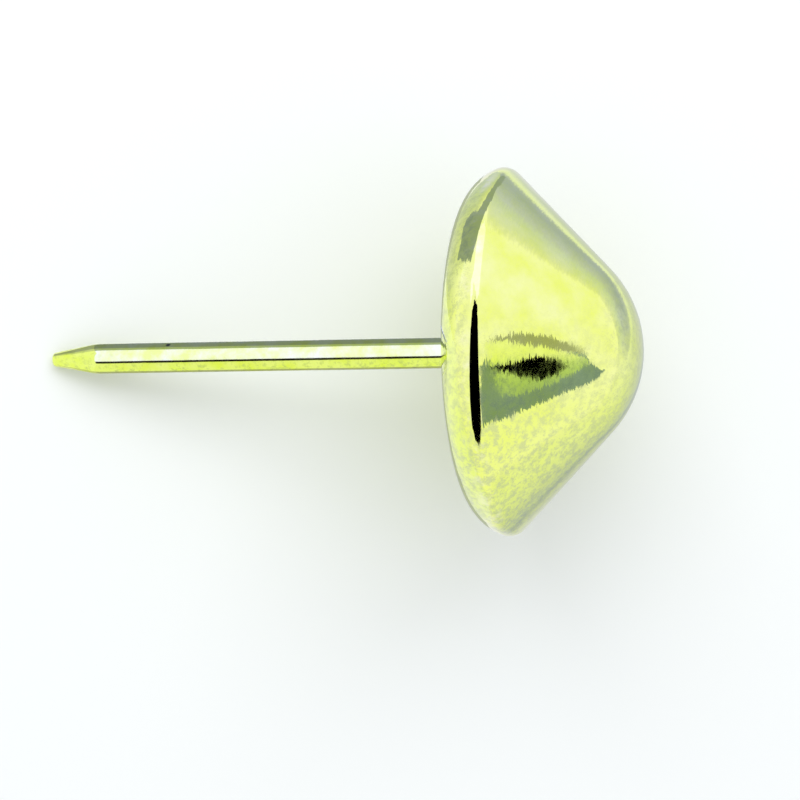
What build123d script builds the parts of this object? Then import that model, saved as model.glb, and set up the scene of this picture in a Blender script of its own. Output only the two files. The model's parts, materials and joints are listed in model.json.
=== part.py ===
from build123d import *
import os
from math import asin, atan2, cos, degrees, hypot, radians, sin, tan

# Push pin with a conical pressed head: a sheet cap, a backing cup that the cap is crimped round, and a wire pin
# riveted through the cup. Each piece is drawn upright on the Z axis, with the crown up, the point down and the
# back of the head at z = 0. All three are then laid down together as the pin rests on a table: on the widest
# circle of the head and on the point, with the crown towards +X. Sizes are in millimetres and degrees.

# Cap
head_diameter = 12.0
sheet_thickness = 0.3
edge_inner_radius = 0.1
curl_inner_radius = 1.3
curl_start_angle = 20.0
cone_half_angle = 46.4
nose_radius = 3.9
lip_width = 0.3

# Backing cup
cup_thickness = 0.4
crimp_clearance = 0.03

# Pin
wire_diameter = 1.0
pin_reach = 14.4
point_length = 1.5
tip_diameter = 0.44
tip_round = 0.1
point_blend_radius = 2.0

# Riveted end of the pin
shoulder_width = 0.2
tenon_clearance = 0.02
rivet_overhang = 0.4
rivet_height = 0.35
rivet_bevel = 0.2

# Outside of the cap: centres of the curl and the edge bend in the half plane of radius and height
edge_radius = edge_inner_radius + sheet_thickness
curl_radius = curl_inner_radius + sheet_thickness
edge_centre_r = head_diameter / 2 - edge_radius
edge_centre_z = curl_radius - (curl_radius - edge_radius) * sin(radians(curl_start_angle))
curl_centre_r = edge_centre_r - (curl_radius - edge_radius) * cos(radians(curl_start_angle))
curl_centre_z = curl_radius
lip_radius = curl_centre_r - lip_width

# Crown: a cone that is tangent to the edge bend and to the round nose. Its outward normal stands at the cone's
# half angle above the radius, so both rounds meet it at that angle.
cone_foot_r = edge_centre_r + edge_radius * cos(radians(cone_half_angle))
cone_foot_z = edge_centre_z + edge_radius * sin(radians(cone_half_angle))
nose_meets_cone_r = nose_radius * cos(radians(cone_half_angle))
nose_meets_cone_z = cone_foot_z + (cone_foot_r - nose_meets_cone_r) / tan(radians(cone_half_angle))
nose_centre_z = nose_meets_cone_z - nose_radius * sin(radians(cone_half_angle))

# Cup floor, pin seat and rivet
cup_inset = sheet_thickness + crimp_clearance
cup_inside_z = cup_inset + cup_thickness
shank_radius = wire_diameter / 2
tip_radius = tip_diameter / 2
tenon_radius = shank_radius - shoulder_width
rivet_radius = tenon_radius + rivet_overhang


def curl_arc(inset):
    """Skirt's inward curl, from its flat foot up to the edge bend, moved in from the cap's outside by inset."""
    return CenterArc((curl_centre_r, curl_centre_z), curl_radius - inset, -90, 90 - curl_start_angle)


def edge_arc(inset):
    """Bend at the widest part of the head, from the curl to the cone, moved in from the cap's outside by inset."""
    turn_angle = curl_start_angle + cone_half_angle
    return CenterArc((edge_centre_r, edge_centre_z), edge_radius - inset, -curl_start_angle, turn_angle)


def cap_side(inset):
    """Cap's wall from the foot of the curl to the top of the crown, moved in from the outside by inset."""
    bend = edge_arc(inset)
    nose = CenterArc((0, nose_centre_z), nose_radius - inset, cone_half_angle, 90 - cone_half_angle)
    return [curl_arc(inset), bend, Line(bend @ 1, nose @ 0), nose]


def turn(edges):
    """Solid turned about the Z axis from a closed half outline. The outline lies on the -X side, which comes out on
    top when the pin is laid down, so the seam is away from the table."""
    return revolve(Plane.back * make_face(edges), Axis.Z).solid()


def head_cap():
    outside = cap_side(0)
    inside = cap_side(sheet_thickness)
    lip = Polyline(outside[0] @ 0, (lip_radius, 0), (lip_radius, sheet_thickness), inside[0] @ 0)
    crown_wall = Line(outside[-1] @ 1, inside[-1] @ 1)
    return turn([*outside, *inside, lip, crown_wall])


def backing_cup():
    """Cup that fills the curl and reaches up under the edge bend, so that a push on the crown goes through to the
    pin. Its inner corner is a straight bevel between the ends of the arc inside."""
    outside = curl_arc(cup_inset)
    inside = curl_arc(cup_inset + cup_thickness)
    hole_radius = tenon_radius + tenon_clearance
    floor = Polyline(outside @ 0, (hole_radius, cup_inset), (hole_radius, cup_inside_z), inside @ 0)
    rim = Polyline(inside @ 0, inside @ 1, edge_arc(cup_inset) @ 1, outside @ 1)
    return turn([outside, floor, rim])


def pin():
    sharp = 0
    rivet_top = cup_inside_z + rivet_height
    corners = [
        ((0, rivet_top), sharp),
        ((0, -pin_reach), sharp),
        ((tip_radius, -pin_reach), tip_round),
        ((shank_radius, point_length - pin_reach), point_blend_radius),
        ((shank_radius, cup_inset), sharp),
        ((tenon_radius, cup_inset), sharp),
        ((tenon_radius, cup_inside_z), sharp),
        ((rivet_radius, cup_inside_z), sharp),
        ((rivet_radius - rivet_bevel, rivet_top), sharp),
    ]
    points, rounds = zip(*corners)
    return turn(FilletPolyline(*points, radius=rounds, close=True))


def lying_angle():
    """Slope of the pin's axis when the head's edge and the rounded end of the point both touch the table."""
    point_half_angle = atan2(shank_radius - tip_radius, point_length)
    tip_centre_r = tip_radius - tip_round * tan(radians(45) - point_half_angle / 2)
    tip_centre_z = tip_round - pin_reach
    across = edge_centre_r - tip_centre_r
    along = edge_centre_z - tip_centre_z
    return degrees(atan2(across, along) + asin((edge_radius - tip_round) / hypot(across, along)))


upright = {"head_cap": head_cap(), "backing_cup": backing_cup(), "pin": pin()}
lay_down = Rot(0, 90 - lying_angle(), 0)
lying = {name: lay_down * solid for name, solid in upright.items()}
box = Compound(list(lying.values())).bounding_box()
to_table = Pos(-box.center().X, -box.center().Y, -box.min.Z)

os.makedirs("parts", exist_ok=True)
for name, solid in lying.items():
    export_step(to_table * solid, f"parts/{name}.step")
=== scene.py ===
import json
from math import ceil, cos, pi, radians, sin, tan

import bpy
from mathutils import Matrix, Vector


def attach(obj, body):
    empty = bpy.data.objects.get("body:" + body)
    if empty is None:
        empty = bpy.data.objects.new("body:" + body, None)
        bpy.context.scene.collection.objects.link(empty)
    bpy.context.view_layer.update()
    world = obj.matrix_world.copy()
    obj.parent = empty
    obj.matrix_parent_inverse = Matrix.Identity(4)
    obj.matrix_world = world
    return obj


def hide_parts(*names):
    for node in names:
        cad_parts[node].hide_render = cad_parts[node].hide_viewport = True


# Push pin with a polished conical head, lying on a pale table. Sizes are in millimetres and degrees.
# The pieces are drawn in the upright frame of the solids: the crown up the axis, the point down it and
# the back of the head at height 0. The stage is drawn in the frame of the table, except for the channel
# over the wire. The far side is towards +Y, and the near side towards -Y.

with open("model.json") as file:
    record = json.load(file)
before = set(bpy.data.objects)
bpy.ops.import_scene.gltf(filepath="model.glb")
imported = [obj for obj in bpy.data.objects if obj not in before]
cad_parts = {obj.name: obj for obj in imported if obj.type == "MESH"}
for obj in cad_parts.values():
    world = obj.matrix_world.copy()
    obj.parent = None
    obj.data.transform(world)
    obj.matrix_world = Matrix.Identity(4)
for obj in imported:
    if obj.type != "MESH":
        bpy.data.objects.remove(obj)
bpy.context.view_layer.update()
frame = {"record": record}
MM = 0.001

# Cap
head_diameter = 12.0
sheet_thickness = 0.3
edge_radius = 0.4
curl_radius = 1.6
curl_start_angle = 20.0
cone_half_angle = 46.4
nose_radius = 3.9
lip_width = 0.3
lip_round = 0.06

# Backing cup
cup_inset = 0.33
cup_thickness = 0.4

# Pin
pin_reach = 14.4
point_length = 1.5
tip_diameter = 0.44
tip_round = 0.1
point_blend_radius = 2.0
tenon_radius = 0.3
hole_radius = 0.32
rivet_radius = 0.7
rivet_height = 0.35
rivet_bevel = 0.2

# Fineness of the turned meshes and of the oval card, and the angle from which a mesh edge is sharp
arc_step = 2.5
least_arc_steps = 2
ring_spacing = 0.25
head_segments = 288
wire_segments = 96
oval_segments = 96
sharp_angle = 30.0

# Centres of the cap's round stretches, as radius and height, and the cone between the bend and the nose
edge_centre = Vector((
    head_diameter / 2 - edge_radius,
    curl_radius - (curl_radius - edge_radius) * sin(radians(curl_start_angle)),
))
curl_centre = Vector((
    edge_centre.x - (curl_radius - edge_radius) * cos(radians(curl_start_angle)),
    curl_radius,
))
cone_normal = Vector((cos(radians(cone_half_angle)), sin(radians(cone_half_angle))))
cone_foot = edge_centre + edge_radius * cone_normal
cone_rise = (cone_foot.x - nose_radius * cone_normal.x) / tan(radians(cone_half_angle))
nose_centre = Vector((0, cone_foot.y + cone_rise - nose_radius * cone_normal.y))
lip_radius = curl_centre.x - lip_width
cup_inside = cup_inset + cup_thickness

# Place of the upright frame on the table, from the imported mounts
mounts = {mount["name"]: mount for mount in frame["record"]["mounts"]}
seat = Vector(mounts["back_of_head"]["pos_m"])
shank_radius = mounts["pin"]["dims"]["r_mm"]
crown_direction = -Vector(mounts["back_of_head"]["axis"]).normalized()
sideways = Vector((0, 1, 0))
upright_origin = Vector((seat.x, 0, seat.z))
upright_axes = Matrix((sideways.cross(crown_direction), sideways, crown_direction)).transposed()
upright_to_table = Matrix.Translation(upright_origin) @ upright_axes.to_4x4() @ Matrix.Scale(MM, 4)


# Outlines

def arc(centre, radius, start, end):
    """Points along an arc of a half outline, from one angle to another."""
    steps = max(least_arc_steps, ceil(abs(end - start) / arc_step))
    angles = [radians(start + (end - start) * step / steps) for step in range(steps + 1)]
    return [
        Vector((centre[0] + radius * cos(angle), centre[1] + radius * sin(angle)))
        for angle in angles
    ]


def spaced(start, end):
    """Points along a straight stretch, without its ends."""
    steps = max(1, round((end - start).length / ring_spacing))
    return [start.lerp(end, step / steps) for step in range(1, steps)]


def rounded(before, corner, after, radius):
    """Arc that rounds a corner between two straight stretches."""
    before, corner, after = Vector(before), Vector(corner), Vector(after)
    back = (before - corner).normalized()
    on = (after - corner).normalized()
    half = back.angle(on) / 2
    centre = corner + (back + on).normalized() * radius / sin(half)
    first = corner + back * radius / tan(half) - centre
    last = corner + on * radius / tan(half) - centre
    turn = first.angle(last)
    steps = max(least_arc_steps, ceil(turn / radians(arc_step)))
    shares = [step / steps for step in range(steps + 1)]
    return [
        centre + (first * sin((1 - share) * turn) + last * sin(share * turn)) / sin(turn)
        for share in shares
    ]


def oval(centre, first_half, second_half):
    """Corners of an ellipse, from its centre and two half diameters that span it."""
    centre, first_half, second_half = Vector(centre), Vector(first_half), Vector(second_half)
    turns = [2 * pi * step / oval_segments for step in range(oval_segments)]
    return [centre + first_half * cos(turn) + second_half * sin(turn) for turn in turns]


def cap_wall(inset):
    """Cap's wall from the foot of its curl to the top of the crown, moved in from the outside by inset."""
    curl = arc(curl_centre, curl_radius - inset, -90, -curl_start_angle)
    bend = arc(edge_centre, edge_radius - inset, -curl_start_angle, cone_half_angle)
    nose = arc(nose_centre, nose_radius - inset, cone_half_angle, 90)
    nose[-1].x = 0
    return curl + bend[1:] + spaced(bend[-1], nose[0]) + nose


def cap_outline():
    outside = cap_wall(0)
    inside = cap_wall(sheet_thickness)
    foot = (lip_radius, 0)
    top = (lip_radius, sheet_thickness)
    lip = rounded(inside[0], top, foot, lip_round) + rounded(top, foot, outside[0], lip_round)
    return lip + outside + inside[::-1]


def cup_outline():
    outside = arc(curl_centre, curl_radius - cup_inset, -90, -curl_start_angle)
    bevel = arc(curl_centre, curl_radius - cup_inside, -90, -curl_start_angle)
    rim_top = edge_centre + (edge_radius - cup_inset) * cone_normal
    hole_foot = Vector((hole_radius, cup_inset))
    hole_top = Vector((hole_radius, cup_inside))
    floor_under = spaced(hole_foot, outside[0])
    return [hole_foot, *floor_under, *outside, rim_top, bevel[-1], bevel[0], hole_top]


def pin_outline():
    rivet_top = cup_inside + rivet_height
    tip = Vector((tip_diameter / 2, -pin_reach))
    shoulder = Vector((shank_radius, point_length - pin_reach))
    seat_edge = Vector((shank_radius, cup_inset))
    end = Vector((0, -pin_reach))
    point_blend = rounded(seat_edge, shoulder, tip, point_blend_radius)
    tip_edge = rounded(shoulder, tip, end, tip_round)
    rivet = [
        Vector((0, rivet_top)),
        Vector((rivet_radius - rivet_bevel, rivet_top)),
        Vector((rivet_radius, cup_inside)),
        Vector((tenon_radius, cup_inside)),
        Vector((tenon_radius, cup_inset)),
    ]
    shank = [seat_edge, *spaced(seat_edge, point_blend[0])]
    return rivet + shank + point_blend + spaced(point_blend[-1], tip_edge[0]) + tip_edge + [end]


# Turned pieces

def turned(name, outline, segments, closed):
    """Mesh turned about the axis from a half outline, laid on the table where its solid lies."""
    vertices = []
    rings = []
    for radius, height in outline:
        count = segments if radius > 0 else 1
        rings.append(range(len(vertices), len(vertices) + count))
        for step in range(count):
            angle = 2 * pi * step / segments
            vertices.append(upright_to_table @ Vector((radius * cos(angle), radius * sin(angle), height)))
    faces = []
    following = rings[1:] + rings[:1] if closed else rings[1:]
    for ring, after in zip(rings, following):
        for step in range(segments):
            corners = [
                ring[step % len(ring)],
                ring[(step + 1) % len(ring)],
                after[(step + 1) % len(after)],
                after[step % len(after)],
            ]
            corners = list(dict.fromkeys(corners))
            if len(corners) > 2:
                faces.append(corners)
    mesh = bpy.data.meshes.new(name)
    mesh.from_pydata(vertices, [], faces)
    mesh.shade_smooth()
    mesh.set_sharp_from_angle(angle=radians(sharp_angle))
    piece = bpy.data.objects.new(name, mesh)
    bpy.context.scene.collection.objects.link(piece)
    return piece


# Shader nodes

def add(tree, kind, inputs=None, **settings):
    """New shader node with its settings, and its inputs as fixed values or as links from other sockets."""
    node = tree.nodes.new(kind)
    for name, value in settings.items():
        setattr(node, name, value)
    for name, value in (inputs or {}).items():
        if isinstance(value, bpy.types.NodeSocket):
            tree.links.new(value, node.inputs[name])
        else:
            node.inputs[name].default_value = value
    return node


def calc(tree, operation, *values):
    return add(tree, "ShaderNodeMath", dict(enumerate(values)), operation=operation).outputs["Value"]


def vector(tree, operation, *values, output="Vector"):
    return add(tree, "ShaderNodeVectorMath", dict(enumerate(values)), operation=operation).outputs[output]


def blend(tree, share, first, second):
    mix = add(tree, "ShaderNodeMix", {"Factor": share, "A": first, "B": second}, data_type="RGBA")
    return mix.outputs["Result"]


def spread(tree, value, low, high, to_low=0.0, to_high=1.0):
    return add(tree, "ShaderNodeMapRange", {
        "Value": value, "From Min": low, "From Max": high, "To Min": to_low, "To Max": to_high,
    }).outputs["Result"]


def noise(tree, place, scale, detail=2.0, roughness=0.5):
    return add(tree, "ShaderNodeTexNoise", {
        "Vector": place, "Scale": scale, "Detail": detail, "Roughness": roughness,
    }).outputs["Fac"]


def patches(tree, place, scale, low, high, detail=4.0, roughness=0.6):
    """Noise that is spread to go from 0 to 1 between two of its levels."""
    return spread(tree, noise(tree, place, scale, detail, roughness), low, high)


def table_place(tree):
    """Position on the surface in the frame of the table, in metres."""
    return add(tree, "ShaderNodeTexCoord").outputs["Object"]


def upright_place(tree):
    """Position on the surface in the upright frame, in millimetres."""
    to_upright = upright_to_table.inverted()
    return add(tree, "ShaderNodeMapping", {
        "Vector": table_place(tree),
        "Location": to_upright.translation,
        "Rotation": to_upright.to_euler(),
        "Scale": to_upright.to_scale(),
    }).outputs["Vector"]


def axis_distance(tree, place):
    """Distance of a place in the upright frame from the axis."""
    return vector(tree, "LENGTH", vector(tree, "MULTIPLY", place, (1, 1, 0)), output="Value")


def plain_normal(tree):
    return add(tree, "ShaderNodeNewGeometry").outputs["Normal"]


def relief(tree, height, depth, under):
    """Shading normal with a relief of the given depth in millimetres on top of another normal."""
    return add(tree, "ShaderNodeBump", {
        "Height": height, "Distance": depth * MM, "Strength": 1.0, "Normal": under,
    }).outputs["Normal"]


def rocked(tree, lines, tilt):
    """Shading normal that fine lines rock to and fro round the axis."""
    normal = plain_normal(tree)
    around = vector(tree, "NORMALIZE", vector(tree, "CROSS_PRODUCT", crown_direction, normal))
    lean = spread(tree, lines, 0.0, 1.0, -tilt, tilt)
    return vector(tree, "NORMALIZE", vector(tree, "MULTIPLY_ADD", around, lean, normal))


def metal(name):
    """New material of bare metal, with its node tree, its shader and the place on the surface."""
    material = bpy.data.materials.new(name)
    material.use_nodes = True
    shader = material.node_tree.nodes["Principled BSDF"]
    shader.inputs["Metallic"].default_value = 1.0
    return material, material.node_tree, shader, upright_place(material.node_tree)


def lacquer(shader, weight, roughness):
    shader.inputs["Coat Weight"].default_value = weight
    shader.inputs["Coat Roughness"].default_value = roughness


def finish(tree, shader, colour, roughness, normal):
    tree.links.new(colour, shader.inputs["Base Color"])
    tree.links.new(roughness, shader.inputs["Roughness"])
    tree.links.new(normal, shader.inputs["Normal"])


# Materials

clean_brass = (0.93, 0.99, 0.41, 1)
deep_brass = (0.86, 0.96, 0.17, 1)
# Colour of the milky specks, a painted reflection of beaded foam below
bead_reflection_brass = (0.60, 0.67, 0.29, 1)
dull_brass = (0.60, 0.63, 0.24, 1)
worn_brass = (0.93, 0.95, 0.52, 1)
tarnish = (0.10, 0.11, 0.07, 1)

# Cap: where its tones change across the axis, along it and out from it, its roughness where it is polished
# and what dulling adds to that, and its relief
# The milky specks are a painted reflection of beaded foam below; these say where they gather
reflected_specks_across = (1.5, -3.5)
reflected_specks_down_skirt = (1.25, 1.0)
reflected_specks_up_crown = (4.4, 5.2)
deep_across = (0.5, -3.0)
wear_outward = (5.8, 5.98)
polished_roughness = 0.03
dulling_roughness = 0.10
hair_stretch = (4, 4, 28)
hair_tilt = 0.038
peel_depth = 0.0005

# Cup: depth of its turning marks
turning_depth = 0.003

# Wire: where its specks, a painted reflection of beaded foam below, gather along the axis and across it,
# its drawn lines and its pit
wire_reflected_specks_at_point = (2 * point_length - pin_reach, point_length / 2 - pin_reach)
wire_reflected_specks_across = (0.0, -0.3)
drawn_stretch = (16, 16, 0.7)
drawn_depth = 0.0008
pit_place = (-0.27, 0.42, -10.3)
pit_edge = (0.05, 0.1)


def cap_brass():
    """Polished and lacquered sheet: cloudy yellow, with milky specks on the skirt, on the crown and on the
    near side that are a painted reflection of beaded foam below, and a worn bend."""
    material, tree, shader, place = metal("cap_brass")
    parts = add(tree, "ShaderNodeSeparateXYZ", {"Vector": place}).outputs
    clouds = patches(tree, place, scale=0.6, low=0.35, high=0.65)
    specks = patches(tree, place, scale=3.8, low=0.44, high=0.60, detail=5.0, roughness=0.7)
    rubs = patches(tree, place, scale=1.8, low=0.5, high=0.7, detail=5.0, roughness=0.7)
    on_side = spread(tree, parts["Y"], *reflected_specks_across, to_low=0.05, to_high=0.9)
    on_skirt = spread(tree, parts["Z"], *reflected_specks_down_skirt, to_high=0.7)
    on_crown = spread(tree, parts["Z"], *reflected_specks_up_crown, to_high=0.5)
    most = calc(tree, "MAXIMUM", on_side, calc(tree, "MAXIMUM", on_skirt, on_crown))
    reflected_specks = calc(tree, "MULTIPLY", specks, most)
    wear = calc(tree, "MULTIPLY", spread(tree, axis_distance(tree, place), *wear_outward), rubs)
    less_clean = spread(tree, parts["Y"], *deep_across, to_low=1.0, to_high=0.3)
    colour = blend(tree, calc(tree, "MULTIPLY", clouds, less_clean), deep_brass, clean_brass)
    # Painted reflection: milky specks for the mottled reflection of beaded foam, which also raise the
    # roughness
    colour = blend(tree, reflected_specks, colour, bead_reflection_brass)
    colour = blend(tree, wear, colour, worn_brass)
    hairs = noise(tree, vector(tree, "MULTIPLY", place, hair_stretch), scale=1.0, detail=1.0)
    peel = noise(tree, place, scale=4.0)
    dulling = calc(tree, "MAXIMUM", reflected_specks, wear)
    roughness = calc(tree, "MULTIPLY_ADD", dulling, dulling_roughness, polished_roughness)
    normal = relief(tree, peel, peel_depth, under=rocked(tree, hairs, hair_tilt))
    finish(tree, shader, colour, roughness, normal)
    lacquer(shader, weight=1.0, roughness=0.05)
    return material


def cup_brass():
    """Plain pressed sheet, dull, with fine turning marks round the axis."""
    material, tree, shader, place = metal("cup_brass")
    outward = add(tree, "ShaderNodeCombineXYZ", {"X": axis_distance(tree, place)}).outputs["Vector"]
    rings = noise(tree, outward, scale=14.0, detail=4.0)
    clouds = patches(tree, place, scale=0.9, low=0.35, high=0.65, roughness=0.65)
    colour = blend(tree, clouds, dull_brass, deep_brass)
    roughness = spread(tree, rings, low=0.3, high=0.7, to_low=0.22, to_high=0.4)
    normal = relief(tree, rings, turning_depth, under=plain_normal(tree))
    finish(tree, shader, colour, roughness, normal)
    return material


def wire_brass():
    """Drawn wire: bright, with fine lines along it, milky specks on the near side and at the point that
    are a painted reflection of beaded foam below, and a small pit."""
    material, tree, shader, place = metal("wire_brass")
    parts = add(tree, "ShaderNodeSeparateXYZ", {"Vector": place}).outputs
    drawn = noise(tree, vector(tree, "MULTIPLY", place, drawn_stretch), scale=1.0, detail=3.0)
    clouds = patches(tree, place, scale=1.6, low=0.35, high=0.65)
    specks = patches(tree, place, scale=4.5, low=0.5, high=0.66, detail=3.0, roughness=0.65)
    at_point = spread(tree, parts["Z"], *wire_reflected_specks_at_point, to_high=0.5)
    on_side = spread(tree, parts["Y"], *wire_reflected_specks_across, to_low=0.05, to_high=0.7)
    reflected_specks = calc(tree, "MULTIPLY", specks, calc(tree, "MAXIMUM", at_point, on_side))
    from_pit = vector(tree, "DISTANCE", place, pit_place, output="Value")
    in_pit = spread(tree, from_pit, *pit_edge, to_low=1.0, to_high=0.0)
    colour = blend(tree, clouds, deep_brass, clean_brass)
    # Painted reflection: milky specks for the mottled reflection of beaded foam
    colour = blend(tree, reflected_specks, colour, bead_reflection_brass)
    colour = blend(tree, in_pit, colour, tarnish)
    roughness = spread(tree, drawn, low=0.3, high=0.7, to_low=0.05, to_high=0.14)
    normal = relief(tree, drawn, drawn_depth, under=plain_normal(tree))
    finish(tree, shader, colour, roughness, normal)
    return material


pieces = {
    "head_cap": (turned("cap", cap_outline(), head_segments, closed=True), cap_brass()),
    "backing_cup": (turned("cup", cup_outline(), head_segments, closed=True), cup_brass()),
    "pin": (turned("wire_pin", pin_outline(), wire_segments, closed=False), wire_brass()),
}
for node, (piece, material) in pieces.items():
    piece.data.materials.append(material)
    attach(piece, "root")
    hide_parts(node)


# Table and cards

cone_middle = Vector((5.0, -0.7, 10.5))
table_colour = (0.885, 0.915, 0.925, 1)
table_half_size = 1500
table_fade_start = 40
table_fade_end = 150
white = (1, 1, 1, 1)
black = (0.0, 0.0, 0.0)
square = ((-1, -1), (1, -1), (1, 1), (-1, 1))


def shown_ray(tree):
    """1 for a ray from the camera or from a glossy or clear surface, and 0 for scattered light."""
    ray = add(tree, "ShaderNodeLightPath").outputs
    seen = calc(tree, "MAXIMUM", ray["Is Camera Ray"], ray["Is Glossy Ray"])
    return calc(tree, "MAXIMUM", seen, ray["Is Transmission Ray"])


def mix_surface(tree, share, first, second):
    """Surface that goes over from one shader to another."""
    mix = add(tree, "ShaderNodeMixShader", {0: share, 1: first, 2: second})
    tree.links.new(mix.outputs["Shader"], tree.nodes["Material Output"].inputs["Surface"])


def table_white():
    """Matt, slightly cool white that goes over to the white of the background far from the pin."""
    material = bpy.data.materials.new("table_white")
    material.use_nodes = True
    tree = material.node_tree
    shader = tree.nodes["Principled BSDF"]
    shader.inputs["Base Color"].default_value = table_colour
    shader.inputs["Roughness"].default_value = 1.0
    shader.inputs["Specular IOR Level"].default_value = 0.0
    from_middle = vector(tree, "LENGTH", table_place(tree), output="Value")
    far = spread(tree, from_middle, table_fade_start * MM, table_fade_end * MM)
    share = calc(tree, "MULTIPLY", far, shown_ray(tree))
    glow = add(tree, "ShaderNodeEmission", {"Color": white, "Strength": 1.0}).outputs["Emission"]
    mix_surface(tree, share, shader.outputs["BSDF"], glow)
    return material


def card_colour(name):
    """New material that glows, and the node that glows."""
    material = bpy.data.materials.new(name)
    material.use_nodes = True
    tree = material.node_tree
    tree.nodes.clear()
    shine = add(tree, "ShaderNodeEmission", {"Strength": 1.0})
    add(tree, "ShaderNodeOutputMaterial", {"Surface": shine.outputs["Emission"]})
    return material, shine


def even(name, colour):
    """Even glow on both sides of a card."""
    material, shine = card_colour(name)
    shine.inputs["Color"].default_value = (*colour, 1)
    return material


def one_sided(name, colour):
    """Even glow on the front of a card, with a clear back."""
    material, shine = card_colour(name)
    tree = material.node_tree
    shine.inputs["Color"].default_value = (*colour, 1)
    behind = add(tree, "ShaderNodeNewGeometry").outputs["Backfacing"]
    clear = add(tree, "ShaderNodeBsdfTransparent").outputs["BSDF"]
    mix_surface(tree, behind, shine.outputs["Emission"], clear)
    return material


def colour_by(tree, distance, stops):
    """Colour by a distance, from stops of a distance in millimetres and a colour each."""
    reach = stops[-1][0]
    ramp = add(tree, "ShaderNodeValToRGB", {"Fac": spread(tree, distance, 0.0, reach * MM)})
    elements = ramp.color_ramp.elements
    while len(elements) < len(stops):
        elements.new(1.0)
    for element, (outward, colour) in zip(elements, stops):
        element.position = outward / reach
        element.color = (*colour, 1)
    return ramp.outputs["Color"]


def toned(name, centre, stops):
    """Glow with a colour that goes by the distance from a centre, which is in metres."""
    material, shine = card_colour(name)
    tree = material.node_tree
    distance = vector(tree, "DISTANCE", table_place(tree), centre, output="Value")
    tree.links.new(colour_by(tree, distance, stops), shine.inputs["Color"])
    return material


def flat(name, corners, material):
    """Flat stage piece from its corners, in metres."""
    mesh = bpy.data.meshes.new(name)
    mesh.from_pydata(corners, [], [range(len(corners))])
    mesh.materials.append(material)
    piece = bpy.data.objects.new(name, mesh)
    bpy.context.scene.collection.objects.link(piece)
    return piece


def card(name, corners, material):
    """Card that shows only as a reflection."""
    piece = flat(name, corners, material)
    piece.visible_camera = False
    piece.visible_diffuse = False
    piece.visible_shadow = False


def level_card(name, corners, height, material):
    """Card that lies level at a height above the table."""
    card(name, [Vector((x, y, height)) * MM for x, y in corners], material)


def towards(turn, rise):
    """Direction from degrees round from +X and degrees above the table."""
    turn, rise = radians(turn), radians(rise)
    return Vector((cos(rise) * cos(turn), cos(rise) * sin(turn), sin(rise)))


def facing(turn, rise, distance, corners):
    """Corners in metres, from places across and up on a plane that faces the cone's upper side."""
    direction = towards(turn, rise)
    across = Vector((-sin(radians(turn)), cos(radians(turn)), 0))
    up = direction.cross(across)
    return [(cone_middle + direction * distance + across * x + up * y) * MM for x, y in corners]


flat("table", [Vector((x, y, 0)) * table_half_size * MM for x, y in square], table_white())

# Dark card over the pin, which shows as the slot in the bend of the head
over_height = 45
over_corners = (
    (17.6, 21.3), (43.3, 17.9), (55.5, 10.3), (57.5, -6.6), (65, -25), (47.6, -37.4), (20, -52),
    (-15, -59.1), (-33.1, -49.8), (-25.5, -25.9), (-13.7, -6.3), (-5.1, 8.5), (1.4, 16.7),
)
level_card("over_card", over_corners, over_height, even("over_card", black))

# Grey cards past the crown with a pale one and a dark one in front of them, which show as the eye on the
# cone. The pale one is brightest at its far end.
eye_turn = -9
eye_rise = 27
eye_distance = 40
pale_step = 0.5
grey_step = 1
wedge_grey = (0.24, 0.32, 0.46)
wedge_corners = (
    (6, 3), (3.4, 3.3), (1.6, 4), (-8, 1.2), (-15.5, -3.5), (-14.9, -5.4), (-13.4, -6.6), (-9.5, -7.8),
    (-6.5, -10), (-3.2, -14), (-3.5, -8.4), (-2.3, -5.3), (-0.5, -2.4), (2.9, -1.2), (5.6, -0.6),
)
brow_grey = (0.40, 0.41, 0.40)
brow_corners = ((7.7, 3.6), (5.6, -0.6), (9, 0), (12.8, 1), (13, 2.2), (11.4, 3.1), (10, 3.6))
pale_outline = oval((0.7, 0.35), (3.2, 2.9), (8.4, 1.8))
pale_end = (9.6, 2.3)
pale_stops = (
    (0, (0.92, 0.97, 0.62)), (5, (0.92, 0.97, 0.62)), (9, (0.62, 0.76, 0.42)), (13, (0.48, 0.62, 0.34)),
    (18, (0.40, 0.52, 0.36)),
)
dark_corners = (
    (1.2, 2.7), (2.7, 1.8), (4.6, 1.2), (2.8, 0.1), (-0.2, -1.1), (-3.3, -1.8), (-4.6, -1.6), (-1.9, 0.6),
)


def eye_place(step, corners):
    """Corners in metres on a plane of the eye that lies a step further away than the dark card."""
    return facing(eye_turn, eye_rise, eye_distance + step, corners)


card("wedge_card", eye_place(grey_step, wedge_corners), even("wedge_card", wedge_grey))
card("brow_card", eye_place(grey_step, brow_corners), even("brow_card", brow_grey))
pale_tone = toned("pale_card", eye_place(pale_step, [pale_end])[0], pale_stops)
card("pale_card", eye_place(pale_step, pale_outline), pale_tone)
card("dark_card", eye_place(0, dark_corners), even("dark_card", black))

# White cards on the far side of the head, which show as the bright strip above the slot and its end beside
# the slot. Each place is the turn, the rise and the distance of the card's plane.
strip_white = even("strip_white", (1.12, 1.08, 1.7))
strip_place = (68, 30, 100)
strip_corners = ((-54, -54), (-60, -33), (-69, -6), (-74, 8), (-37, 36), (40, 36), (40, -36))
strip_end_place = (108, 47, 100)
strip_end_corners = ((-16, -14), (16, -14), (16, 14), (-16, 14))
card("strip_card", facing(*strip_place, strip_corners), strip_white)
card("strip_end_card", facing(*strip_end_place, strip_end_corners), strip_white)

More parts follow.
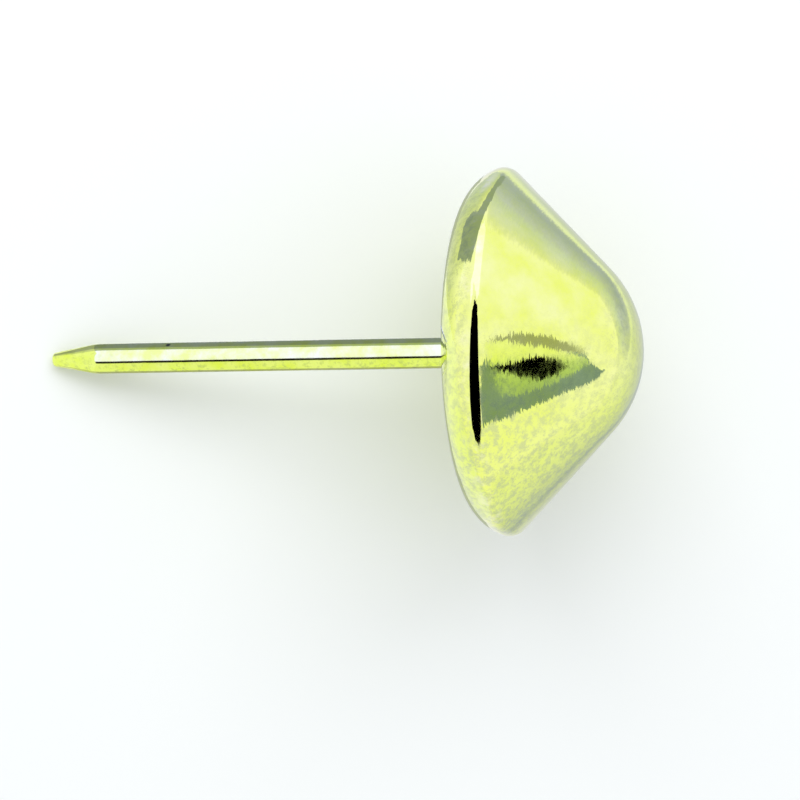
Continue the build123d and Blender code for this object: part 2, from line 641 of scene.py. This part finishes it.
# Narrow channel of cards over the wire. On the shank it shows as a dark edge, a white band, a dark line, a
# plain band and a grey edge, and on the point as a plain tone between grey edges. Each row of its section
# has where a card ends, as down and across from the axis, and its colours over the shank and the point.
channel_ends = {"shank": (-13.1, 0.3), "point": (-20, -13.1)}
channel_start = (1.1, 0.9)
white_band = (1.06, 1.05, 2.4)
plain_band = (0.86, 0.94, 0.52)
point_tone = (0.92, 1.0, 0.62)
channel_section = (
    ("far_edge", (-0.4, 0.9), (0.21, 0.24, 0.42), (0.35, 0.38, 0.50)),
    ("far_rim", (-0.7, 0.9), (0.38, 0.44, 0.50), (0.60, 0.66, 0.55)),
    ("far_side", (-1.2, 0.9), white_band, point_tone),
    ("top", (-1.2, -0.38), white_band, point_tone),
    ("line", (-1.2, -0.74), (0.02, 0.02, 0.02), point_tone),
    ("near_top", (-1.2, -0.9), plain_band, point_tone),
    ("near_side", (0.03, -0.9), plain_band, point_tone),
    ("near_edge", (1.1, -0.9), (0.42, 0.43, 0.42), (0.60, 0.63, 0.50)),
)
start = channel_start
for name, end, *colours in channel_section:
    for (stretch, (low, high)), colour in zip(channel_ends.items(), colours):
        corners = ((*start, low), (*start, high), (*end, high), (*end, low))
        places = [upright_to_table @ Vector(corner) for corner in corners]
        card(f"{stretch}_{name}", places, one_sided(f"{stretch}_{name}", colour))
    start = end

# Toned card on the table on the far side of the wire, which shows on the far half of the skirt
skirt_height = 0.08
skirt_corners = ((9.7, 12.3), (11.8, 19.9), (8, 38.3), (-80, 38.3), (-80, 3), (-1, 4), (3, 8.5))
skirt_centre = Vector((5, 14, 0))
skirt_stops = (
    (0, (0.68, 0.72, 1.0)), (2.5, (0.64, 0.68, 0.92)), (4.5, (0.58, 0.65, 0.62)), (9, (0.65, 0.70, 0.57)),
    (20, (0.80, 0.84, 0.65)), (34, (0.95, 0.97, 0.80)), (84, (1, 1, 1)),
)
skirt_tone = toned("skirt_card", skirt_centre * MM, skirt_stops)
level_card("skirt_card", skirt_corners, skirt_height, skirt_tone)

# Dark card on the table on the far side of the head and a dark board past it, which show on the skirt
dark_grey = even("dark_grey", (0.31, 0.36, 0.45))
back_height = 0.1
back_corners = (
    (10, 10.2), (13.8, 13.9), (24, 25.8), (52, 91), (-50, 45), (-11.3, 11.8),
    (-8.6, 13.3), (-4.6, 11.8), (-3.5, 13.1), (-6, 36.5), (8, 38.3), (11.8, 19.9), (9.7, 12.3),
)
level_card("back_card", back_corners, back_height, dark_grey)
board_start = Vector((52, 91, 0))
board_end = Vector((-50, 45, 0))
board_outline = ((0, 0), (0.38, 23), (0.54, 32), (0.76, 33), (0.85, 27), (1, 0))
board_corners = [
    (board_start.lerp(board_end, share) + Vector((0, 0, height))) * MM
    for share, height in board_outline
]
card("board", board_corners, dark_grey)

# Dark card on the table under the back of the head, which shows as the line round the skirt. Its near half
# mirrors its far half.
under_height = 0.1
under_grey = (0.48, 0.52, 0.42)
far_half = ((-0.5, 4), (0.5, 6.5), (3.6, 8), (5.2, 6.2), (4.2, 4))
under_corners = [(x, -y) for x, y in far_half] + list(reversed(far_half))
level_card("under_card", under_corners, under_height, even("under_card", under_grey))

# Shade on the table past the crown, which shows along the outline. On the far side it has a straight
# bright line, and its colours go by the distance across that line. On the near side they go by the
# distance from a place by the head. Under the head it starts with the tone that it ends with.
shade_height = 0.05
shade_start = 3
shade_full = 9
shade_reach = 150
shade_end_tone = (0.95, 0.95, 0.95)
far_side_edge = 8
near_side_edge = -5
line_turn = 64
near_centre = Vector((7, -4, 0))
far_stops = (
    (8, (0.62, 0.66, 0.57)), (10.8, (0.60, 0.66, 0.62)), (11.4, (0.82, 0.88, 0.72)),
    (12.4, (0.82, 0.88, 0.72)), (13.3, (0.44, 0.49, 0.66)), (15, (0.41, 0.46, 0.68)),
    (18, (0.47, 0.52, 0.72)), (22, (0.54, 0.58, 0.84)), (28, (0.62, 0.68, 0.84)),
    (38, (0.70, 0.75, 0.84)), (83, (0.82, 0.84, 0.85)), (shade_reach, shade_end_tone),
)
near_stops = (
    (4.4, (0.60, 0.64, 0.54)), (5.6, (0.42, 0.46, 0.57)), (6.8, (0.60, 0.65, 0.64)),
    (9, (0.65, 0.69, 0.68)), (13, (0.78, 0.82, 0.75)), (26, (0.90, 0.93, 0.84)),
    (shade_reach, shade_end_tone),
)


def table_shade():
    """Shade with the bright line on the far side, which goes over to the plain one on the near side and
    fades out under the head."""
    material, shine = card_colour("table_shade")
    tree = material.node_tree
    place = table_place(tree)
    parts = add(tree, "ShaderNodeSeparateXYZ", {"Vector": place}).outputs
    across_line = vector(tree, "DOT_PRODUCT", place, towards(line_turn, 0), output="Value")
    from_near = vector(tree, "DISTANCE", place, near_centre * MM, output="Value")
    far_side = colour_by(tree, across_line, far_stops)
    near_side = colour_by(tree, from_near, near_stops)
    nearness = spread(tree, parts["Y"], far_side_edge * MM, near_side_edge * MM)
    past_head = spread(tree, parts["X"], shade_start * MM, shade_full * MM)
    colour = blend(tree, nearness, far_side, near_side)
    colour = blend(tree, past_head, (*shade_end_tone, 1), colour)
    tree.links.new(colour, shine.inputs["Color"])
    return material


shade_corners = (
    (shade_start, -shade_reach), (shade_reach, -shade_reach),
    (shade_reach, shade_reach), (shade_start, shade_reach),
)
level_card("shade_card", shade_corners, shade_height, table_shade())


# Light

def softbox(name, turn, rise, distance, width, height, radiance):
    """Even rectangular lamp that faces the head and shows in no reflection."""
    lamp = bpy.data.lights.new(name, "AREA")
    lamp.shape = "RECTANGLE"
    lamp.size = width * MM
    lamp.size_y = height * MM
    lamp.energy = radiance * pi * lamp.size * lamp.size_y
    holder = bpy.data.objects.new(name, lamp)
    direction = towards(turn, rise)
    holder.location = upright_origin + direction * distance * MM
    holder.rotation_euler = direction.to_track_quat("Z", "Y").to_euler()
    holder.visible_glossy = False
    bpy.context.scene.collection.objects.link(holder)


softbox("softbox", turn=92, rise=50, distance=170, width=200, height=120, radiance=2.0)

# The background is white where it is seen, and a little darker as a source of light
fill_level = 0.83
world = bpy.data.worlds.new("studio")
world.use_nodes = True
bpy.context.scene.world = world
background = world.node_tree.nodes["Background"]
background.inputs["Color"].default_value = white
level = spread(world.node_tree, shown_ray(world.node_tree), 0.0, 1.0, fill_level, 1.0)
world.node_tree.links.new(level, background.inputs["Strength"])

# Camera: close above the pin, leaning a little towards the point
camera_distance = 120
camera_lean = radians(6.82)
camera_roll = radians(0.8)
camera_aim = Vector((1.646, -1.516, 4.97)) * MM
camera_back = Vector((-sin(camera_lean), 0, cos(camera_lean)))
level_right = Vector((cos(camera_lean), 0, sin(camera_lean)))
level_up = camera_back.cross(level_right)
camera_right = level_right * cos(camera_roll) - level_up * sin(camera_roll)
camera_up = camera_back.cross(camera_right)
camera = bpy.data.objects.new("camera", bpy.data.cameras.new("camera"))
camera.data.sensor_width = 36
camera.data.lens = 165.6
camera.data.clip_start = 0.01
camera.matrix_world = Matrix.Translation(camera_aim + camera_back * camera_distance * MM) @ Matrix((
    camera_right, camera_up, camera_back,
)).transposed().to_4x4()
bpy.context.scene.collection.objects.link(camera)
bpy.context.scene.camera = camera

bpy.context.scene.view_settings.view_transform = "Standard"
